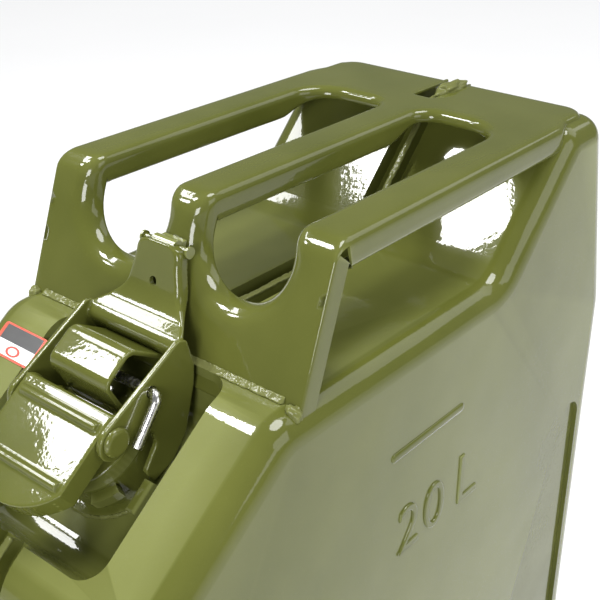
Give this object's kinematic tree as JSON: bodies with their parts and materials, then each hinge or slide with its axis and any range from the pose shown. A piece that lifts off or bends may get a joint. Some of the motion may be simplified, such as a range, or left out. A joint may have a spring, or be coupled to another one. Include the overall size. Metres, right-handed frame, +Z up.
{
  "type": "jerry can",
  "caption": "Pressed-steel fuel can with a three-bar carrying handle, sloped spout shoulder and a hinged cam-lever closure locked by a bent wire pin.",
  "frame": {"origin": "centre of the underside, on the floor", "axes": "+X to the rear, spout at -X, +Y to the far side, +Z up"},
  "size_m": [0.345, 0.165, 0.47],
  "materials": {
    "powder_coat": "glossy olive-green powder coat",
    "coated_weld": "rough weld under the same coat",
    "inner_coat": "fuel-proof inner coat",
    "zinc_wire": "bright zinc plate",
    "gasket_rubber": "moulded",
    "label_film": null
  },
  "bodies": {
    "tank": {"far_shell": "powder_coat", "near_shell": "powder_coat", "seam_weld": "coated_weld", "handle_frame": "powder_coat", "handle_foot_weld": "coated_weld", "spout_neck": "powder_coat", "neck_weld": "coated_weld", "guide_blocks": "powder_coat", "hinge_lug": "powder_coat", "hinge_pin": "powder_coat", "breather_tube": "inner_coat", "breather_clips": "inner_coat", "label": "label_film"},
    "yoke": {"yoke": "powder_coat", "lid": "powder_coat", "inner_lid": "inner_coat", "gasket": "gasket_rubber", "gasket_washer": "zinc_wire", "lid_rivet": "zinc_wire", "pressure_bridge": "powder_coat", "lever_rivets": "powder_coat"},
    "lever": {"cam_lever": "powder_coat"},
    "pin": {"locking_pin": "zinc_wire"}
  },
  "joints": [
    {"name": "yoke_swing", "type": "hinge", "parent": "tank", "child": "yoke", "pos_m": [-0.0683, 0, 0.451], "axis": [0, 1, 0], "range_deg": [0, 110]},
    {"name": "lever_lift", "type": "hinge", "parent": "yoke", "child": "lever", "pos_m": [-0.1254, 0, 0.3986], "axis": [0, 1, 0], "range_deg": [0, 70]},
    {"name": "pin_pull", "type": "slide", "parent": "yoke", "child": "pin", "axis": [0, -1, 0], "range_m": [0, 0.056]}
  ]
}
